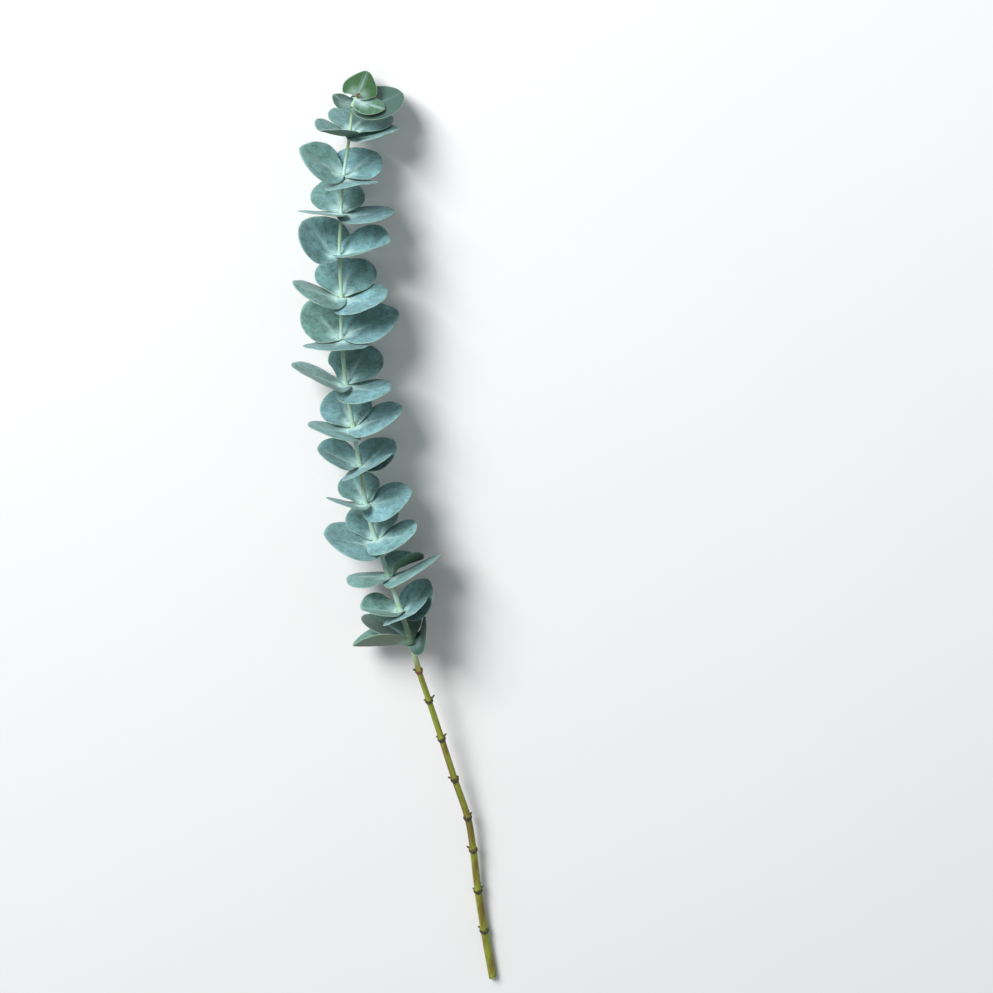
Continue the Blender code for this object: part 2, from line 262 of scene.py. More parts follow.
# %% The leaf outline
BASE_SHARE = 0.09
TIP_SPREAD = 16.0
FULL_LOBE = 128.0
SHORT_LOBE = 88.0
WIDE_GAP = 150.0
LOBE_ROUNDING = 40.0
LOBE_END = 1.6


def outline_radius(angle, spec, lobe, inner):
    """Distance from the stem's axis to a leaf's edge, in a direction given from its midrib."""
    back = BASE_SHARE * spec.length
    half_length = (spec.length + back) / 2
    centre = (spec.length - back) / 2
    forward = math.cos(angle) / half_length
    sideways = math.sin(angle) / (spec.length * spec.width / 2)
    square = forward * forward + sideways * sideways
    linear = forward * centre / half_length
    constant = (centre / half_length) ** 2 - 1
    reach = (linear + math.sqrt(linear * linear - square * constant)) / square
    reach += spec.point * math.exp(-((math.degrees(angle) / TIP_SPREAD) ** 2))
    rounding = math.radians(LOBE_ROUNDING)
    late = min(max((abs(angle) - (lobe - rounding)) / rounding, 0.0), 1.0)
    least = inner + LOBE_END
    return least + (max(reach, least) - least) * math.sqrt(1 - late * late)


def lobe_angles(place, whorl):
    """How far round the stem a leaf's left and right lobes reach: long where nothing lower is in the way."""
    angles = []
    for hand in (-1, 1):
        ways = [((hand * (whorl[place].turn - leaf.turn)) % 360, other) for other, leaf in enumerate(whorl)]
        gap, beside = min(way for way in ways if way[1] != place)
        clear = beside > place or gap > WIDE_GAP
        angles.append(FULL_LOBE if clear else SHORT_LOBE)
    return angles


print("widest leaf, mm:", round(max(leaf.length * leaf.width for whorl in whorls for leaf in whorl)))

# %% [markdown]
# ## The blade in space
# The blade leaves the stem square to it, then rises by its lift. Its halves fold up or down at the midrib, and
# its edge waves. What would reach below the surface lies flat on it. Each step moves a point of the flat leaf,
# so veins and wax that are drawn on the flat leaf bend with it.

# %% From the flat leaf to the bent one
THICKNESS = 0.7
RISE_REACH = 6.0
FOLD_REACH = 7.0
CREASE = 1.2
WAVE = 0.5
WAVES = 2.5
FLOOR_SOFTNESS = 1.0
MIDRIB_STEPS = 40


def midrib_curve(spec, reach, inner):
    """Distance out from the stem, height and slope at even steps along a leaf's midrib."""
    lift = math.radians(spec.lift)
    curl = math.radians(spec.curl)
    out = 0.0
    rise = 0.0
    step = reach / MIDRIB_STEPS
    curve = [(0.0, 0.0, 0.0)]
    for number in range(1, MIDRIB_STEPS + 1):
        reached = (number - 0.5) * step
        slope = lift * smooth_step((reached - inner) / RISE_REACH) + curl * reached / spec.length
        out += math.cos(slope) * step
        rise += math.sin(slope) * step
        curve.append((out, rise, slope))
    return curve, step


def leaf_spot(angle, reach, inner, spec, curve, step, phase):
    """A flat leaf's point folded and lifted: distance out, sideways and up the stem."""
    along_rib = reach * math.cos(angle)
    beside_rib = reach * math.sin(angle)
    fold = spec.left_fold if angle < 0 else spec.right_fold
    tilt = math.radians(fold) * smooth_step((reach - inner) / FOLD_REACH)
    wide = math.sqrt(beside_rib**2 + CREASE**2) - CREASE
    height = wide * math.sin(tilt)
    height += WAVE * math.sin(WAVES * angle + phase) * ((reach - inner) / spec.length) ** 2
    side = math.copysign(wide * math.cos(tilt) + abs(beside_rib) - wide, angle)
    if along_rib <= 0.0:
        return along_rib, side, height
    first = min(int(along_rib / step), MIDRIB_STEPS - 1)
    part = along_rib / step - first
    out, rise, slope = (a + (b - a) * part for a, b in zip(curve[first], curve[first + 1]))
    return out - height * math.sin(slope), side, rise + height * math.cos(slope)


def settle(height):
    """Keeps a point off the surface: what would reach below lies flat on it."""
    lowest = THICKNESS / 2
    above = height - lowest
    if above > FLOOR_SOFTNESS:
        return height
    if above < -FLOOR_SOFTNESS:
        return lowest
    return lowest + (above + FLOOR_SOFTNESS) ** 2 / (4 * FLOOR_SOFTNESS)


print("a leaf that would sink 5 mm is kept at, mm:", settle(-5.0))

# %% [markdown]
# ## A few words for building materials
# Shader nodes are quicker to read when the three steps that repeat, a calculation, a soft threshold and a mix
# of two colours, each have a short helper. The helpers only add nodes and links.

# %% Helpers for shader nodes
def add_node(tree, kind, inputs=None, **settings):
    """A shader node, with its options and with its sockets' values or what feeds them."""
    made = tree.nodes.new("ShaderNode" + kind)
    for name, value in settings.items():
        setattr(made, name, value)
    for key, value in (inputs or {}).items():
        if isinstance(value, bpy.types.NodeSocket):
            tree.links.new(value, made.inputs[key])
        else:
            made.inputs[key].default_value = value
    return made


def calculate(tree, operation, *values):
    """The result of a Math node."""
    return add_node(tree, "Math", dict(enumerate(values)), operation=operation).outputs[0]


def soften(tree, value, low, high, start=0.0, end=1.0):
    """A soft threshold: start below low, end above high."""
    limits = {"Value": value, "From Min": low, "From Max": high, "To Min": start, "To Max": end}
    return add_node(tree, "MapRange", limits, interpolation_type="SMOOTHSTEP").outputs["Result"]


def mix_colours(tree, share, first, second):
    """The first colour, with a share of the second."""
    colours = [(*c, 1.0) if isinstance(c, tuple) else c for c in (first, second)]
    made = add_node(tree, "Mix", {0: share, 6: colours[0], 7: colours[1]}, data_type="RGBA")
    return made.outputs[2]


def spots(tree, place, scale, detail=3.0, roughness=0.55, distortion=0.0):
    """The value of a noise texture, from 0 to 1."""
    made = add_node(tree, "TexNoise", {"Vector": place, "Scale": scale, "Detail": detail})
    made.inputs["Roughness"].default_value = roughness
    made.inputs["Distortion"].default_value = distortion
    return made.outputs["Fac"]


def attribute(tree, name):
    """A number that the mesh carries at each point."""
    return add_node(tree, "Attribute", attribute_name=name).outputs["Fac"]


print("helpers ready")

# %% [markdown]
# ## Veins
# A pale midrib runs from the stem to the tip. Side veins leave it, straight out near the stem and ever more
# forwards near the tip, and a fine net lies between them. On the flat leaf, the height at which a side vein
# leaves the midrib can be worked out for any point, and a vein runs wherever that height passes a multiple of
# their spacing. The leaf map holds the flat leaf's two lengths, so the pattern costs no geometry.

# %% The vein group
MAP_SPAN = 50.0
MAP_ACROSS = 0.5
MAP_ALONG = 0.25


def new_group(name, inputs, outputs):
    """An empty shader group with named sockets."""
    group = bpy.data.node_groups.new(name, "ShaderNodeTree")
    for direction, sockets in (("INPUT", inputs), ("OUTPUT", outputs)):
        for title, kind in sockets:
            group.interface.new_socket(title, in_out=direction, socket_type="NodeSocket" + kind)
    return group, group.nodes.new("NodeGroupInput"), group.nodes.new("NodeGroupOutput")


def build_vein_group():
    """Masks of the midrib, the side veins and the net between them, from the leaf map."""
    group, given, result = new_group(
        "leaf veins",
        [("Leaf map", "Vector"), ("Spacing", "Float"), ("Wander", "Float")],
        [("Midrib", "Float"), ("Side veins", "Float"), ("Net", "Float"), ("Out", "Float"), ("Aside", "Float")],
    )
    flat = add_node(
        group,
        "Mapping",
        {
            "Vector": given.outputs["Leaf map"],
            "Location": (-MAP_ACROSS * MAP_SPAN, -MAP_ALONG * MAP_SPAN, 0.0),
            "Scale": (MAP_SPAN, MAP_SPAN, MAP_SPAN),
        },
    ).outputs["Vector"]
    wander = calculate(group, "SUBTRACT", spots(group, flat, 0.35), 0.5)
    wander = calculate(group, "MULTIPLY", wander, given.outputs["Wander"])
    parts = add_node(group, "SeparateXYZ", {0: flat})
    aside = calculate(group, "ABSOLUTE", parts.outputs["X"])
    out = parts.outputs["Y"]
    width = soften(group, out, 0.0, 30.0, 0.55, 0.16)
    rib = calculate(group, "DIVIDE", aside, width)
    midrib = soften(group, rib, 0.3, 1.0, 1.0, 0.0)
    above = calculate(group, "ADD", out, calculate(group, "MULTIPLY", aside, 0.25))
    spread = calculate(group, "ADD", calculate(group, "MULTIPLY", aside, 0.035), 1.0)
    root = calculate(group, "DIVIDE", above, spread)
    bent = calculate(group, "MULTIPLY", calculate(group, "MULTIPLY", aside, aside), 0.008)
    root = calculate(group, "ADD", calculate(group, "SUBTRACT", root, bent), wander)
    turns = calculate(group, "DIVIDE", root, given.outputs["Spacing"])
    offset = calculate(group, "MULTIPLY", calculate(group, "SIGN", parts.outputs["X"]), 0.23)
    turns = calculate(group, "FRACT", calculate(group, "ADD", turns, offset))
    gap = calculate(group, "ABSOLUTE", calculate(group, "SUBTRACT", turns, 0.5))
    veins = soften(group, gap, 0.02, 0.09, 1.0, 0.0)
    faded = soften(group, aside, 9.0, 19.0, 1.0, 0.35)
    veins = calculate(group, "MULTIPLY", veins, faded)
    cells = add_node(group, "TexVoronoi", {"Vector": flat, "Scale": 1.25}, feature="DISTANCE_TO_EDGE")
    net = soften(group, cells.outputs["Distance"], 0.03, 0.13, 1.0, 0.0)
    for title, value in (("Midrib", midrib), ("Side veins", veins), ("Net", net), ("Out", out), ("Aside", aside)):
        group.links.new(value, result.inputs[title])
    return group


vein_group = build_vein_group()
print("vein group nodes:", len(vein_group.nodes))

# %% [markdown]
# ## Wax
# A pale wax covers the leaves and the young stem. It is thickest round each node and along the midrib, thin
# at the edges and rubbed off in small spots. Noise at two scales gives the patches and the specks, and the
# same group serves the leaves and the stem.

# %% The wax group
def build_wax_group():
    """How thickly the wax lies, from 0 to 1, from patches, specks and rubbed spots."""
    group, given, result = new_group(
        "wax bloom",
        [("Place", "Vector"), ("Patch size", "Float"), ("Speck size", "Float")],
        [("Patches", "Float"), ("Specks", "Float"), ("Rubbed", "Float")],
    )
    patch_scale = calculate(group, "DIVIDE", 1.0, given.outputs["Patch size"])
    speck_scale = calculate(group, "DIVIDE", 1.0, given.outputs["Speck size"])
    patches = soften(group, spots(group, given.outputs["Place"], patch_scale, 4.0, 0.6, 0.4), 0.32, 0.68)
    specks = soften(group, spots(group, given.outputs["Place"], speck_scale, 2.0, 0.7), 0.35, 0.65)
    rubbed_scale = calculate(group, "MULTIPLY", patch_scale, 2.3)
    rubbed = soften(group, spots(group, given.outputs["Place"], rubbed_scale, 5.0, 0.75, 0.8), 0.56, 0.66)
    for title, value in (("Patches", patches), ("Specks", specks), ("Rubbed", rubbed)):
        group.links.new(value, result.inputs[title])
    return group


wax_group = build_wax_group()
print("wax group nodes:", len(wax_group.nodes))

# %% [markdown]
# ## The leaves' finish
# One function makes the finish of a leaf from a few colours: the green of the blade, its blue-grey older
# tone, the underside, the wax and the pale rim, which is partly the leaf's pale margin and partly a painted
# highlight where the edge catches the light. The wax makes a pale star round the stem that runs out along
# the midribs, and small dark mottles and a few brown flecks break it up. The mesh carries how far each point
# is from the edge, which side of the leaf it is on, and a tone and a share of wax for the whole leaf, so that
# no two leaves are quite alike. The share of wax is partly real and partly painted light and shade: a high
# share lightens a leaf that faces the light, and a low one darkens a leaf in shade towards a dull green.

# %% The leaf materials
GREEN_WAX = (0.245, 0.46, 0.42)
BLUE_WAX = (0.225, 0.45, 0.50)
STAR_COLOUR = (0.52, 0.76, 0.74)
# Partly the leaf's pale margin, partly a painted highlight where the edge catches the light.
PALE_MARGIN_AND_EDGE_HIGHLIGHT = (0.33, 0.45, 0.33)
VEIN_COLOUR = (0.24, 0.40, 0.38)
UNDER_VEIN_COLOUR = (0.24, 0.34, 0.20)
FLECK_COLOUR = (0.085, 0.085, 0.03)


def leaf_finish(name, green, grey, rubbed_and_shaded_green, underside, wax_share, roughness, shine):
    """Blade, veins, wax and rim of a leaf, with its duller underside."""
    made = bpy.data.materials.new(name)
    made.use_nodes = True
    tree = made.node_tree
    shader = tree.nodes["Principled BSDF"]
    place = add_node(tree, "TexCoord").outputs["Object"]
    leaf_map = add_node(tree, "UVMap", uv_map="leaf_map").outputs["UV"]
    veins = add_node(tree, "Group", node_tree=vein_group)
    tree.links.new(leaf_map, veins.inputs["Leaf map"])
    veins.inputs["Spacing"].default_value = 3.1
    veins.inputs["Wander"].default_value = 1.6
    wax = add_node(tree, "Group", node_tree=wax_group)
    tree.links.new(place, wax.inputs["Place"])
    wax.inputs["Patch size"].default_value = 0.014
    wax.inputs["Speck size"].default_value = 0.0012
    upper = attribute(tree, "upper")
    margin = attribute(tree, "margin")
    tone = attribute(tree, "tone")
    # The leaf's share of wax: partly its real wax, partly painted light and shade that lightens leaves facing the light
    # and darkens leaves in shade.
    bloom = attribute(tree, "bloom")

    blade = mix_colours(tree, tone, green, grey)
    cloud = soften(tree, spots(tree, place, 60.0), 0.32, 0.68, 0.0, 0.5)
    blade = mix_colours(tree, cloud, blade, green)
    mottle = soften(tree, spots(tree, place, 280.0, 6.0, 0.75, 0.6), 0.44, 0.64, 0.0, 0.5)
    grit = soften(tree, spots(tree, place, 1100.0, 2.0, 0.6), 0.56, 0.70, 0.0, 0.35)
    mottle = calculate(tree, "MAXIMUM", mottle, grit)
    rubbed = calculate(tree, "MULTIPLY", wax.outputs["Rubbed"], 0.5)
    blade = mix_colours(tree, rubbed, blade, rubbed_and_shaded_green)
    lines = calculate(tree, "MULTIPLY", veins.outputs["Side veins"], 0.27)
    lines = calculate(tree, "MAXIMUM", lines, calculate(tree, "MULTIPLY", veins.outputs["Net"], 0.09))
    blade = mix_colours(tree, lines, blade, VEIN_COLOUR)
    near_stem = soften(tree, veins.outputs["Out"], 3.5, 11.0, 1.0, 0.0)
    star = calculate(tree, "MULTIPLY", near_stem, soften(tree, veins.outputs["Aside"], 2.0, 8.0, 1.0, 0.0))
    near_rib = soften(tree, veins.outputs["Aside"], 0.2, 2.6, 1.0, 0.0)
    along = calculate(tree, "MULTIPLY", near_rib, soften(tree, veins.outputs["Out"], 4.0, 26.0, 0.7, 0.0))
    glow = calculate(tree, "MAXIMUM", star, along)
    glow = calculate(tree, "MULTIPLY", glow, soften(tree, spots(tree, place, 500.0), 0.3, 0.6, 0.6, 1.0))
    # The pale star is fainter where the share of wax is low, part of the same painted shade.
    glow = calculate(tree, "MULTIPLY", glow, soften(tree, bloom, 0.0, 0.8, 0.4, 1.0))
    cover = calculate(tree, "MULTIPLY", wax.outputs["Patches"], 0.45)
    cover = calculate(tree, "ADD", cover, calculate(tree, "MULTIPLY", wax.outputs["Specks"], 0.2))
    cover = calculate(tree, "ADD", cover, 0.22)
    cover = calculate(tree, "SUBTRACT", cover, calculate(tree, "MULTIPLY", rubbed, 0.5))
    cover = calculate(tree, "MULTIPLY", cover, calculate(tree, "MULTIPLY", bloom, wax_share))
    wax_colour = mix_colours(tree, soften(tree, tone, 0.0, 0.9), GREEN_WAX, BLUE_WAX)
    blade = mix_colours(tree, cover, blade, wax_colour)
    # A low share of wax turns the leaf towards the dark rubbed green: partly lost wax, partly painted shade.
    mottle = calculate(tree, "MAXIMUM", mottle, soften(tree, bloom, 0.0, 0.7, 0.92, 0.0))
    blade = mix_colours(tree, mottle, blade, rubbed_and_shaded_green)
    blade = mix_colours(tree, calculate(tree, "MULTIPLY", veins.outputs["Midrib"], 0.25), blade, STAR_COLOUR)
    blade = mix_colours(tree, calculate(tree, "MULTIPLY", glow, 0.88), blade, STAR_COLOUR)

    below = mix_colours(tree, calculate(tree, "MULTIPLY", lines, 1.6), underside, UNDER_VEIN_COLOUR)
    below = mix_colours(tree, calculate(tree, "MULTIPLY", veins.outputs["Midrib"], 0.8), below, UNDER_VEIN_COLOUR)
    below = mix_colours(tree, calculate(tree, "MULTIPLY", wax.outputs["Patches"], 0.4), below, GREEN_WAX)
    skin = mix_colours(tree, upper, below, blade)
    cells = add_node(tree, "TexVoronoi", {"Vector": place, "Scale": 75.0})
    chosen = add_node(tree, "SeparateXYZ", {0: cells.outputs["Color"]}).outputs["X"]
    fleck = soften(tree, cells.outputs["Distance"], 0.05, 0.10, 0.75, 0.0)
    fleck = calculate(tree, "MULTIPLY", fleck, calculate(tree, "GREATER_THAN", chosen, 0.62))
    skin = mix_colours(tree, fleck, skin, FLECK_COLOUR)
    # Pale rim at the edge: partly the leaf's pale margin, partly a painted highlight where the edge catches the light.
    rim = soften(tree, margin, 0.12, 0.5, 0.7, 0.0)
    skin = mix_colours(tree, rim, skin, PALE_MARGIN_AND_EDGE_HIGHLIGHT)
    tree.links.new(skin, shader.inputs["Base Color"])

    matt = soften(tree, wax.outputs["Patches"], 0.0, 1.0, roughness, roughness + 0.14)
    tree.links.new(matt, shader.inputs["Roughness"])
    shader.inputs["Specular IOR Level"].default_value = shine
    shader.inputs["Sheen Weight"].default_value = 0.08
    shader.inputs["Sheen Roughness"].default_value = 0.6

    raised = calculate(tree, "MULTIPLY", veins.outputs["Side veins"], 0.5)
    raised = calculate(tree, "ADD", raised, calculate(tree, "MULTIPLY", veins.outputs["Net"], 0.16))
    raised = calculate(tree, "ADD", raised, veins.outputs["Midrib"])
    turned = calculate(tree, "SUBTRACT", 0.5, upper)
    raised = calculate(tree, "MULTIPLY", raised, turned)
    raised = calculate(tree, "ADD", raised, calculate(tree, "MULTIPLY", wax.outputs["Specks"], 0.06))
    bump = add_node(tree, "Bump", {"Height": raised, "Strength": 0.5, "Distance": 0.0003})
    tree.links.new(bump.outputs["Normal"], shader.inputs["Normal"])
    return made


leaf_material = leaf_finish(
    "blue-grey leaf",
    green=(0.065, 0.165, 0.115),
    grey=(0.085, 0.165, 0.180),
    rubbed_and_shaded_green=(0.035, 0.090, 0.069),
    underside=(0.125, 0.205, 0.120),
    wax_share=0.88,
    roughness=0.52,
    shine=0.3,
)
young_material = leaf_finish(
    "young green leaf",
    green=(0.036, 0.116, 0.042),
    grey=(0.048, 0.138, 0.068),
    rubbed_and_shaded_green=(0.027, 0.088, 0.026),
    underside=(0.10, 0.20, 0.06),
    wax_share=0.14,
    roughness=0.5,
    shine=0.2,
)
print("leaf materials:", leaf_material.name, "and", young_material.name)

# %% [markdown]
# ## A leaf's mesh
# A plane of quads is wrapped into the leaf: its width becomes the angle from one lobe to the other, and its
# height the way from the stem to the edge. A copy of the sheet is pushed to the underside and the two are
# bridged round the rim. The blade thins towards its edge, as a real one does.

# %% Making one leaf
SECTORS = 72
BANDS = 18
TIP_CROWDING = 1.3
BLADE = 0.5
EDGE_SHARE = 0.4
EDGE_REACH = 1.5
BASE_GAP = 0.05
STEM_GAP = 0.5
CLASP = 0.3
CLASP_REACH = 7.0
RIPPLE = 0.35
RIPPLE_SIZE = 0.16


def leaf_sheet(index, spec, lobes, chance):
    """The middle sheet of a leaf as a bmesh, with the flat lengths and the distance to the edge at each point."""
    node, along = place_on(index, 0.0)
    outward = outward_at(along, spec.turn)
    sideways = along.cross(outward)
    start = plain_radius(node) + LEAFY_SWELL + BASE_GAP
    inner = plain_radius(node) + LEAFY_SWELL + STEM_GAP
    phase = chance.uniform(0.0, math.tau)
    curve, step = midrib_curve(spec, spec.length + spec.point, inner)
    sheet = bmesh.new()
    flat_across = sheet.verts.layers.float.new("flat_across")
    flat_along = sheet.verts.layers.float.new("flat_along")
    margin = sheet.verts.layers.float.new("margin")
    bmesh.ops.create_grid(sheet, x_segments=SECTORS, y_segments=BANDS, size=1.0)
    for vert in sheet.verts:
        spread = max(-1.0, min(1.0, vert.co.x))
        lobe = math.radians(lobes[int(spread > 0)])
        angle = math.copysign(lobe * abs(spread) ** TIP_CROWDING, spread)
        outer = outline_radius(angle, spec, lobe, inner)
        reach = start + (outer - start) * (vert.co.y + 1) / 2
        out, side, up = leaf_spot(angle, reach, inner, spec, curve, step, phase)
        vert[flat_across] = reach * math.sin(angle)
        vert[flat_along] = reach * math.cos(angle)
        vert[margin] = min(outer - reach, (lobe - abs(angle)) * reach)
        seat = spec.seat * (CLASP + (1 - CLASP) * smooth_step((reach - start) / CLASP_REACH))
        flat = Vector((reach * math.sin(angle), reach * math.cos(angle), phase * 20.0))
        ripple = noise.noise(flat * RIPPLE_SIZE) * RIPPLE * smooth_step((reach - start) / spec.length)
        spot = node + outward * out + sideways * side + along * (seat + up + ripple)
        spot.z = settle(spot.z)
        vert.co = spot * MM
    return sheet


def thicken(sheet):
    """Turns the sheet into a closed blade, thinner at its edge, with the upper side marked."""
    margin = sheet.verts.layers.float["margin"]
    upper = sheet.verts.layers.float.new("upper")
    sheet.normal_update()
    top_faces = list(sheet.faces)
    top = list(sheet.verts)
    rim = [edge for edge in sheet.edges if edge.is_boundary]
    copied = bmesh.ops.duplicate(sheet, geom=top_faces + list(sheet.edges) + top)
    partner = copied["vert_map"]
    lower_faces = [item for item in copied["geom"] if isinstance(item, bmesh.types.BMFace)]
    lower_rim = [copied["edge_map"][edge] for edge in rim]
    for vert in top:
        share = EDGE_SHARE + (1 - EDGE_SHARE) * smooth_step(vert[margin] / EDGE_REACH)
        shift = -vert.normal * (BLADE * MM / 2 * share)
        below = partner[vert]
        below.co = vert.co - shift
        vert.co = vert.co + shift
        vert[upper] = 1.0
        below[upper] = 0.0
    bmesh.ops.reverse_faces(sheet, faces=lower_faces)
    bmesh.ops.bridge_loops(sheet, edges=rim + lower_rim)
    bmesh.ops.recalc_face_normals(sheet, faces=sheet.faces)
    if sheet.calc_volume(signed=True) < 0:
        bmesh.ops.reverse_faces(sheet, faces=sheet.faces)


def map_leaf(sheet):
    """Writes the flat leaf's two lengths to the leaf map."""
    flat_across = sheet.verts.layers.float["flat_across"]
    flat_along = sheet.verts.layers.float["flat_along"]
    leaf_map = sheet.loops.layers.uv.new("leaf_map")
    for face in sheet.faces:
        for loop in face.loops:
            across = loop.vert[flat_across] / MAP_SPAN + MAP_ACROSS
            along = loop.vert[flat_along] / MAP_SPAN + MAP_ALONG
            loop[leaf_map].uv = (across, along)


def add_piece(name, shape, material, slot, *nodes):
    """A finished piece from a bmesh: its object, finish and the nodes that it replaces. The slot is not used."""
    mesh = bpy.data.meshes.new(name)
    shape.to_mesh(mesh)
    shape.free()
    mesh.shade_smooth()
    mesh.materials.append(material)
    piece = bpy.data.objects.new(name, mesh)
    bpy.context.scene.collection.objects.link(piece)
    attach(piece, "root")
    if nodes:
        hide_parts(*nodes)
    return piece


print("quads on a leaf:", 2 * SECTORS * BANDS)

# %% [markdown]
# ## All the leaves
# A loop goes down the stem. Where a leaf's edge wave starts is drawn from a fixed seed, in the same order as
# for the solids. A second draw gives each leaf its tone, greener at the tip and foot and bluer between, and its
# share of wax. The share is higher on the leaves at the front and right and lower on the back ones: painted
# light and shade that lightens leaves facing the light and darkens those behind the stem. A short list sets
# it for single leaves: near nothing for a few that are dark, partly from lost wax and partly as painted shade,
# and more for a few that are painted lighter.

# %% Growing the leaves
LEAF_SEED = 7
TONE_SEED = 3
YOUNG_WHORLS = 1
GREEN_AGAIN = 13
GREY_FROM = 4
TIP_TONE = 0.35
TONE = 0.7
FOOT_TONE = 0.4
UNEVEN_TONE = 0.3
SIDE_TONE = {"left": -0.25, "right": 0.15, "front": 0.15, "back": 0.05}
UNEVEN_BLOOM = 0.15
# Higher on front and right leaves and lower on back ones: painted light where leaves face the light, painted shade
# behind the stem.
SIDE_WAX_LIGHT_AND_SHADE = {"left": 1.2, "right": 1.45, "front": 1.35, "back": 0.98}
# Single leaves: low values paint a leaf dark, partly for lost wax and partly as painted shade; high values paint a leaf
# lighter as painted light.
LEAF_WAX_LIGHT_AND_SHADE = {
    (1, "back"): 0.08,
    (2, "left"): 0.05,
    (2, "right"): 0.0,
    (3, "back"): 0.75,
    (3, "right"): 1.3,
    (5, "right"): 1.35,
    (7, "left"): 0.8,
    (12, "back"): 1.3,
    (16, "back"): 0.08,
    (16, "right"): 0.06,
}
chance = random.Random(LEAF_SEED)
tone_chance = random.Random(TONE_SEED)
leaves = []
for index, whorl in enumerate(whorls):
    for place, spec in enumerate(whorl):
        sheet = leaf_sheet(index, spec, lobe_angles(place, whorl), chance)
        thicken(sheet)
        map_leaf(sheet)
        tone = sheet.verts.layers.float.new("tone")
        bloom = sheet.verts.layers.float.new("bloom")
        leaf_tone = FOOT_TONE if index >= GREEN_AGAIN else TIP_TONE + (TONE - TIP_TONE) * smooth_step(index / GREY_FROM)
        leaf_tone += SIDE_TONE[spec.side] + tone_chance.uniform(-UNEVEN_TONE, UNEVEN_TONE)
        # Random real unevenness of wax, times the side's and the single leaf's painted light and shade.
        leaf_wax_light_and_shade = tone_chance.uniform(1 - UNEVEN_BLOOM, 1 + UNEVEN_BLOOM) * SIDE_WAX_LIGHT_AND_SHADE[spec.side]
        leaf_wax_light_and_shade *= LEAF_WAX_LIGHT_AND_SHADE.get((index + 1, spec.side), 1.0)
        for vert in sheet.verts:
            vert[tone] = leaf_tone
            vert[bloom] = leaf_wax_light_and_shade
        young = index < YOUNG_WHORLS
        name = f"leaf_{index + 1:02d}_{spec.side}"
        material = young_material if young else leaf_material
        leaves.append(add_piece(f"{name}_blade", sheet, material, "young_leaf" if young else "leaf", name))
print("leaves made:", len(leaves))

# %% [markdown]
# ## The bark
# Among the leaves the stem is yellow-green under the same pale wax. Below them the wax is gone, and the bark
# is a brighter green with brown stains, a darker brown band down its left side on part of the bare stem, dark
# rings at the nodes and fine lines along the stem. The mesh carries the closeness to a node, how bare the
# stem is and where the band shows.

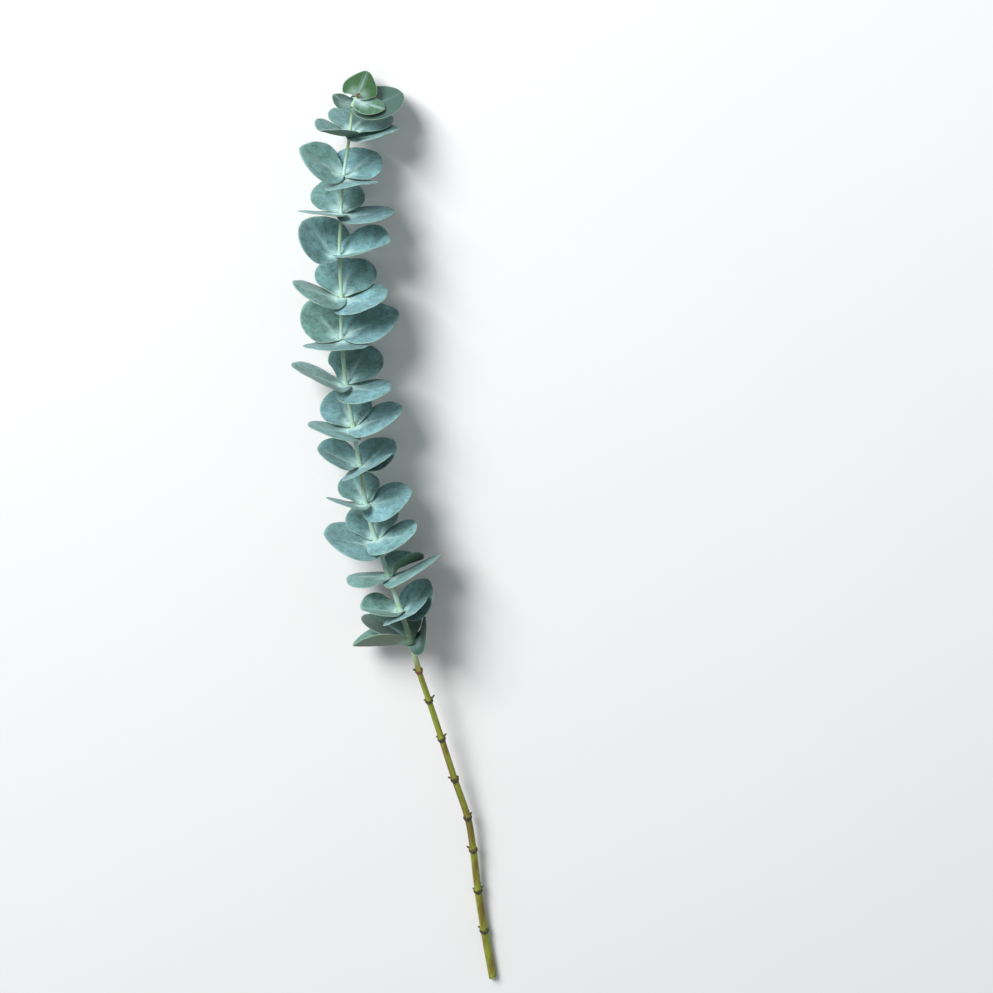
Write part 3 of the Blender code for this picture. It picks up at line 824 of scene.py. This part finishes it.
# %% The stem's materials
def bark_finish():
    """Green bark, waxy among the leaves, stained, darker brown down its left side and ringed below them."""
    made = bpy.data.materials.new("green bark")
    made.use_nodes = True
    tree = made.node_tree
    shader = tree.nodes["Principled BSDF"]
    place = add_node(tree, "TexCoord").outputs["Object"]
    stem_map = add_node(tree, "UVMap", uv_map="stem_map").outputs["UV"]
    wax = add_node(tree, "Group", node_tree=wax_group)
    tree.links.new(place, wax.inputs["Place"])
    wax.inputs["Patch size"].default_value = 0.012
    wax.inputs["Speck size"].default_value = 0.0007
    near = attribute(tree, "near_node")
    bare = attribute(tree, "bare")
    left_band_span = attribute(tree, "left_band_span")
    aged_ring = attribute(tree, "old_node")
    after = attribute(tree, "after_node")

    streak_place = add_node(tree, "Mapping", {"Vector": stem_map, "Scale": (9.0, 60.0, 1.0)}).outputs["Vector"]
    streaks = spots(tree, streak_place, 1.0, 4.0, 0.6)
    stain_place = add_node(tree, "Mapping", {"Vector": place, "Scale": (1.0, 0.25, 1.0)}).outputs["Vector"]
    stains = spots(tree, stain_place, 150.0, 4.0, 0.65, 0.5)
    fresh = mix_colours(tree, soften(tree, streaks, 0.35, 0.65), (0.29, 0.41, 0.08), (0.40, 0.50, 0.16))
    cover = soften(tree, wax.outputs["Patches"], 0.0, 1.0, 0.5, 0.97)
    cover = calculate(tree, "MULTIPLY", cover, soften(tree, after, 0.05, 0.5, 0.45, 1.0))
    leafy = mix_colours(tree, cover, fresh, (0.44, 0.64, 0.58))
    naked = mix_colours(tree, soften(tree, streaks, 0.35, 0.65), (0.215, 0.280, 0.025), (0.320, 0.345, 0.045))
    around = add_node(tree, "SeparateXYZ", {0: stem_map}).outputs["X"]
    # A brown band down the stem's left side, over part of the bare stem.
    left_side = calculate(tree, "ABSOLUTE", calculate(tree, "SUBTRACT", around, 0.78))
    left_side = soften(tree, left_side, 0.10, 0.22, 0.9, 0.0)
    stains_and_left_band = soften(tree, stains, 0.46, 0.62, 0.0, 0.75)
    stains_and_left_band = calculate(tree, "MAXIMUM", stains_and_left_band, calculate(tree, "MULTIPLY", left_side, left_band_span))
    naked = mix_colours(tree, stains_and_left_band, naked, (0.165, 0.095, 0.022))
    bark = mix_colours(tree, bare, leafy, naked)
    ragged = calculate(tree, "MULTIPLY", calculate(tree, "SUBTRACT", spots(tree, place, 420.0, 4.0, 0.7), 0.5), 1.7)
    around_node = calculate(tree, "ADD", near, ragged)
    ring = calculate(tree, "MULTIPLY", soften(tree, around_node, 0.3, 0.62, 0.0, 0.92), bare)
    scar_colour = mix_colours(tree, soften(tree, aged_ring, 0.0, 1.0), (0.12, 0.045, 0.022), (0.032, 0.024, 0.012))
    bark = mix_colours(tree, ring, bark, scar_colour)
    pale_scar = calculate(tree, "MULTIPLY", soften(tree, spots(tree, place, 700.0), 0.56, 0.64), ring)
    pale_scar = calculate(tree, "MULTIPLY", pale_scar, soften(tree, aged_ring, 0.0, 1.0, 0.8, 0.25))
    bark = mix_colours(tree, pale_scar, bark, (0.36, 0.22, 0.17))
    tree.links.new(bark, shader.inputs["Base Color"])

    gloss = soften(tree, bare, 0.0, 1.0, 0.62, 0.42)
    gloss = calculate(tree, "ADD", gloss, calculate(tree, "MULTIPLY", stains_and_left_band, 0.15))
    tree.links.new(gloss, shader.inputs["Roughness"])
    shader.inputs["Specular IOR Level"].default_value = 0.4
    lines_place = add_node(tree, "Mapping", {"Vector": stem_map, "Scale": (40.0, 25.0, 1.0)}).outputs["Vector"]
    relief = calculate(tree, "ADD", spots(tree, lines_place, 1.0, 3.0), calculate(tree, "MULTIPLY", stains, 0.5))
    bump = add_node(tree, "Bump", {"Height": relief, "Strength": 0.35, "Distance": 0.0003})
    tree.links.new(bump.outputs["Normal"], shader.inputs["Normal"])
    return made


def cut_finish():
    """Pale wood at the cut, with a darker pith and a ring of bark."""
    made = bpy.data.materials.new("cut wood")
    made.use_nodes = True
    tree = made.node_tree
    shader = tree.nodes["Principled BSDF"]
    place = add_node(tree, "TexCoord").outputs["Object"]
    radial = attribute(tree, "radial")
    grain = spots(tree, place, 1800.0, 4.0, 0.7)
    wood = mix_colours(tree, soften(tree, grain, 0.3, 0.7), (0.52, 0.50, 0.27), (0.40, 0.37, 0.17))
    wood = mix_colours(tree, soften(tree, radial, 0.12, 0.26, 1.0, 0.0), wood, (0.27, 0.22, 0.10))
    wood = mix_colours(tree, soften(tree, radial, 0.80, 0.92), wood, (0.22, 0.30, 0.05))
    tree.links.new(wood, shader.inputs["Base Color"])
    shader.inputs["Roughness"].default_value = 0.7
    bump = add_node(tree, "Bump", {"Height": grain, "Strength": 0.5, "Distance": 0.0002})
    tree.links.new(bump.outputs["Normal"], shader.inputs["Normal"])
    return made


def dead_finish(name, dark, pale):
    """Dry brown tissue, as on stubs, scars and bud scales."""
    made = bpy.data.materials.new(name)
    made.use_nodes = True
    tree = made.node_tree
    shader = tree.nodes["Principled BSDF"]
    place = add_node(tree, "TexCoord").outputs["Object"]
    mottle = spots(tree, place, 900.0, 4.0, 0.7)
    tree.links.new(mix_colours(tree, soften(tree, mottle, 0.35, 0.65), dark, pale), shader.inputs["Base Color"])
    shader.inputs["Roughness"].default_value = 0.75
    bump = add_node(tree, "Bump", {"Height": mottle, "Strength": 0.6, "Distance": 0.0003})
    tree.links.new(bump.outputs["Normal"], shader.inputs["Normal"])
    return made


bark_material = bark_finish()
cut_material = cut_finish()
stub_material = dead_finish("dry stub", (0.035, 0.025, 0.012), (0.12, 0.10, 0.035))
bud_material = dead_finish("bud scale", (0.13, 0.065, 0.04), (0.30, 0.20, 0.12))
print("stem materials ready")

# %% [markdown]
# ## The stem's mesh
# A plane of quads is rolled into a tube along the curve, with its rings close together where the stem swells.
# The seam is welded, and the two ends are closed by drawing their edges in to the middle in steps, which also
# gives the cut face its rings. Low noise keeps the tube from looking turned on a lathe.

# %% Making the stem
STEM_SIDES = 32
FINE_STEP = 0.35
COARSE_STEP = 1.6
BUD_RINGS = ((3.0, 0.25), (2.3, 0.7), (1.4, 0.95), (0.7, 0.85))
CUT_SLANT = 1.2
RING_HEIGHT = 0.16
RING_HALF = 0.45
SCAR_HALF = 1.7
UNEVEN_BARK = 0.05
LEFT_BAND_FROM = 1.5
LEFT_BAND_TO = 4.5


def stem_rings():
    """Point, direction and radius of each ring, then the values that its bark reads."""
    start, along = place_on(0, 0.0)
    rings = [(start + along * beyond, along, radius, 1.0, 0.0, 1.0, 0.0, 1.0) for beyond, radius in BUD_RINGS]
    for index in range(len(route) - 1):
        length = (route[index + 1] - route[index]).length
        offset = 0.0
        while offset < length:
            point, along = place_on(index, offset / length)
            left = length - offset
            near = swell_at(index) * (1 - smooth_step(offset / SWELL_REACH))
            near += swell_at(index + 1) * (1 - smooth_step(left / SWELL_REACH))
            bare_here = index >= len(LEAFY_NODES)
            closest = min(offset if swell_at(index) else left, left if swell_at(index + 1) else offset)
            scar = math.exp(-((closest / SCAR_HALF) ** 2))
            ridge = RING_HEIGHT * math.exp(-((closest / RING_HALF) ** 2))
            if not bare_here and (index < len(LEAFY_NODES) - 1 or left > offset):
                ridge = 0.0
            passed = index + offset / length - len(LEAFY_NODES)
            bare = smooth_step(passed + 1.0)
            # How strongly the brown band down the left side shows here.
            left_band_span = smooth_step(passed - LEFT_BAND_FROM) * (1 - smooth_step(passed - LEFT_BAND_TO))
            radius = plain_radius(point) + near + ridge
            rings.append((point, along, radius, scar, offset / length, bare, left_band_span, smooth_step(passed)))
            offset += FINE_STEP if min(offset, left) < SWELL_REACH else COARSE_STEP
            if offset < length and length - offset < FINE_STEP / 2:
                offset = length
    point, along = place_on(len(route) - 2, 1.0)
    rings.append((point, along, CUT_RADIUS, 0.0, 1.0, 1.0, 0.0, 1.0))
    return rings


def roll_stem(rings):
    """The stem's tube as a bmesh with the values that its bark reads."""
    tube = bmesh.new()
    names = ("near_node", "after_node", "bare", "left_band_span", "old_node", "radial")
    layers = [tube.verts.layers.float.new(name) for name in names]
    stem_map = tube.loops.layers.uv.new("stem_map")
    bmesh.ops.create_grid(tube, x_segments=STEM_SIDES, y_segments=len(rings) - 1, size=1.0)
    for face in tube.faces:
        for loop in face.loops:
            loop[stem_map].uv = ((loop.vert.co.x + 1) / 2, (loop.vert.co.y + 1) / 2)
    last = len(rings) - 1
    for vert in tube.verts:
        number = round((vert.co.y + 1) / 2 * last)
        turn = 360 * (vert.co.x + 1) / 2
        point, along, radius, *values = rings[number]
        for layer, value in zip(layers, (*values, 1.0)):
            vert[layer] = value
        outward = outward_at(along, turn)
        lean = along * (CUT_SLANT * math.sin(math.radians(turn)) if number == last else 0.0)
        rough = noise.noise((point + outward * radius) * 0.35) * UNEVEN_BARK
        vert.co = (point + outward * (radius + rough) + lean) * MM
        vert.co.z = max(vert.co.z, 0.0)
    bmesh.ops.remove_doubles(tube, verts=tube.verts, dist=0.00001)
    return tube


def close_end(tube, highest, steps):
    """Draws the tube's open end in to its middle, a ring at each of the given shares of its radius."""
    rim = [edge for edge in tube.edges if edge.is_boundary]
    ends = sorted({vert for edge in rim for vert in edge.verts}, key=lambda vert: vert.co.y)
    wanted = set(ends[STEM_SIDES:] if highest else ends[:STEM_SIDES])
    loop = [edge for edge in rim if edge.verts[0] in wanted]
    middle = sum((vert.co for vert in wanted), Vector()) / len(wanted)
    radial = tube.verts.layers.float["radial"]
    faces = []
    size = 1.0
    for share in steps:
        grown = bmesh.ops.extrude_edge_only(tube, edges=loop)["geom"]
        verts = [item for item in grown if isinstance(item, bmesh.types.BMVert)]
        loop = [item for item in grown if isinstance(item, bmesh.types.BMEdge) and item.is_boundary]
        faces += [item for item in grown if isinstance(item, bmesh.types.BMFace)]
        for vert in verts:
            vert.co = middle + (vert.co - middle) * (share / size)
            vert[radial] = share
        size = share
    faces += bmesh.ops.contextual_create(tube, geom=loop)["faces"]
    return faces


tube = roll_stem(stem_rings())
close_end(tube, True, (0.6, 0.25))
for face in close_end(tube, False, (0.93, 0.8, 0.5, 0.25, 0.12)):
    face.material_index = 1
bmesh.ops.recalc_face_normals(tube, faces=tube.faces)
print("stem faces:", len(tube.faces))
stem = add_piece("stem_bark", tube, bark_material, "stem", "stem")
stem.data.materials.append(cut_material)

# %% [markdown]
# ## Stubs
# Where leaves were stripped from the lower stem, short broken stalks are left. Each could be drawn as a curve
# with a thickness, but a cone with its root in the stem, cut into rings and roughened, is quicker and closed.

# %% Stubs on the bare stem
STUBS = (
    (0, 62, 1.5),
    (0, -70, 1.8),
    (1, 75, 3.6),
    (1, -62, 1.3),
    (1, 178, 2.2),
    (2, 84, 2.6),
    (2, -100, 1.2),
    (3, 64, 1.6),
    (3, -80, 1.9),
    (4, 96, 1.5),
    (4, -38, 1.2),
    (5, -86, 2.1),
    (5, 48, 1.1),
    (6, 82, 1.7),
    (6, -70, 1.1),
    (7, -96, 1.5),
    (7, 34, 1.1),
)
STUB_ROOT_RADIUS = 0.9
STUB_END_RADIUS = 0.55
STUB_LEAN = 48.0
STUB_SIDES = 14
STUB_CUTS = 5
STUB_ROUGH = 0.16


def make_stub(number, turn, length):
    """A broken stalk as a bmesh, in place on a bare node."""
    node, along = place_on(len(LEAFY_NODES) + number, 0.0)
    lean = math.radians(STUB_LEAN)
    points_to = outward_at(along, turn) * math.sin(lean) + along * math.cos(lean)
    reach = plain_radius(node) / math.sin(lean) + length
    shape = bmesh.new()
    bmesh.ops.create_cone(
        shape,
        cap_ends=True,
        segments=STUB_SIDES,
        radius1=STUB_ROOT_RADIUS * MM,
        radius2=STUB_END_RADIUS * MM,
        depth=reach * MM,
    )
    sides = [edge for edge in shape.edges if abs(edge.verts[0].co.z - edge.verts[1].co.z) > 0.5 * reach * MM]
    bmesh.ops.subdivide_edges(shape, edges=sides, cuts=STUB_CUTS, use_grid_fill=True)
    for vert in shape.verts:
        shake = noise.noise_vector(vert.co / MM + Vector((number, turn, 0.0)))
        vert.co += shake * (STUB_ROUGH * MM)
    turned = points_to.to_track_quat("Z", "Y").to_matrix().to_4x4()
    bmesh.ops.transform(
        shape, matrix=Matrix.Translation((node + points_to * reach / 2) * MM) @ turned, verts=shape.verts
    )
    return shape


all_stubs = bmesh.new()
for number, turn, length in STUBS:
    shape = make_stub(number, turn, length)
    part = bpy.data.meshes.new("stub_part")
    shape.to_mesh(part)
    shape.free()
    all_stubs.from_mesh(part)
    bpy.data.meshes.remove(part)
bmesh.ops.recalc_face_normals(all_stubs, faces=all_stubs.faces)
print("stub faces:", len(all_stubs.faces))
stubs = add_piece("stalk_stubs", all_stubs, stub_material, "stem")

# %% [markdown]
# ## The bud
# The shoot ends in a tiny bud: a brown point between small dry scales. Each scale is a round shape drawn out,
# thinned and leant away from the tip, which gives its soft edge with no further steps.

# %% Bud scales at the tip
SCALE_SIDES = 12
SCALES = ((40, 1.7), (-75, 1.3), (165, 1.5))
SCALE_WIDE = 0.6
SCALE_THICK = 0.28
SCALE_LEAN = 32.0


def make_bud_scale(turn, length):
    """A small dry scale as a bmesh: a round one drawn out, thinned and leant away from the tip."""
    node, along = place_on(0, 0.0)
    lean = math.radians(SCALE_LEAN)
    points_to = outward_at(along, turn) * math.sin(lean) + along * math.cos(lean)
    shape = bmesh.new()
    bmesh.ops.create_uvsphere(shape, u_segments=SCALE_SIDES, v_segments=SCALE_SIDES, radius=MM)
    bmesh.ops.scale(shape, vec=(SCALE_WIDE, SCALE_THICK, length), verts=shape.verts)
    turned = points_to.to_track_quat("Z", "Y").to_matrix().to_4x4()
    place = Matrix.Translation((node + points_to * length) * MM) @ turned
    bmesh.ops.transform(shape, matrix=place, verts=shape.verts)
    return shape


bud = bmesh.new()
for turn, length in SCALES:
    shape = make_bud_scale(turn, length)
    part = bpy.data.meshes.new("scale_part")
    shape.to_mesh(part)
    shape.free()
    bud.from_mesh(part)
    bpy.data.meshes.remove(part)
print("bud scale faces:", len(bud.faces))
bud_scales = add_piece("bud_scales", bud, bud_material, "stem")

# %% [markdown]
# ## The surface
# The stem lies on a plain pale surface, wide enough to fill every view. It isn't part of the object.

# %% Surface
FLOOR_SIZE = 8.0


def surface_finish():
    """A plain pale matt surface with a faint unevenness."""
    made = bpy.data.materials.new("pale surface")
    made.use_nodes = True
    tree = made.node_tree
    shader = tree.nodes["Principled BSDF"]
    place = add_node(tree, "TexCoord").outputs["Object"]
    cloud = spots(tree, place, 6.0, 3.0)
    tree.links.new(mix_colours(tree, cloud, (0.86, 0.86, 0.86), (0.88, 0.88, 0.88)), shader.inputs["Base Color"])
    shader.inputs["Roughness"].default_value = 0.8
    return made


ground = bmesh.new()
bmesh.ops.create_grid(ground, x_segments=1, y_segments=1, size=FLOOR_SIZE / 2)
ground_mesh = bpy.data.meshes.new("surface")
ground.to_mesh(ground_mesh)
ground.free()
ground_mesh.materials.append(surface_finish())
surface = bpy.data.objects.new("surface", ground_mesh)
bpy.context.scene.collection.objects.link(surface)
print("surface side, m:", FLOOR_SIZE)

# %% [markdown]
# ## The light
# One large soft light shines from beyond the tip and from the left, low enough for the leaves to shade each
# other and so show their form. A pale surround, the world's colour, fills the shadows.

# %% Light
MIDDLE = Vector((0.0, 0.06, 0.0))
KEY_DIRECTION = Vector((-0.44, 0.67, 0.60)).normalized()
KEY_DISTANCE = 4.0
KEY_SIZE = 1.7
KEY_POWER = 222.0
SURROUND_COLOUR = (0.93, 0.97, 1.0, 1.0)
SURROUND_STRENGTH = 0.31
key = bpy.data.lights.new("key", "AREA")
key.size = KEY_SIZE
key.energy = KEY_POWER
key_object = bpy.data.objects.new("key", key)
key_object.location = MIDDLE + KEY_DIRECTION * KEY_DISTANCE
key_object.rotation_euler = (-KEY_DIRECTION).to_track_quat("-Z", "Y").to_euler()
bpy.context.scene.collection.objects.link(key_object)
world = bpy.data.worlds.new("pale surround")
world.use_nodes = True
backdrop = world.node_tree.nodes["Background"]
backdrop.inputs["Color"].default_value = SURROUND_COLOUR
backdrop.inputs["Strength"].default_value = SURROUND_STRENGTH
bpy.context.scene.world = world
bpy.context.scene.view_settings.view_transform = "Standard"
print("key light at, m:", [round(value, 2) for value in key_object.location])

# %% [markdown]
# ## The camera
# The camera looks down on the stem, but 25 degrees from straight above towards the tip, so that the leaves show
# their tops as they would on an upright stem seen from a little above. A long lens keeps the far end in scale.

# %% Camera
LENS = 100.0
SENSOR = 36.0
DISTANCE = 1655.0
LOOKS_DOWN = 25.0
AIM = (60.2, 52.0, 25.0)
tilt = math.radians(LOOKS_DOWN)
camera_data = bpy.data.cameras.new("camera")
camera_data.lens = LENS
camera_data.sensor_width = SENSOR
camera = bpy.data.objects.new("camera", camera_data)
camera.location = (Vector(AIM) + DISTANCE * Vector((0.0, math.sin(tilt), math.cos(tilt)))) * MM
camera.rotation_euler = (-tilt, 0.0, 0.0)
bpy.context.scene.collection.objects.link(camera)
bpy.context.scene.camera = camera
print("camera height, m:", round(camera.location.z, 3))
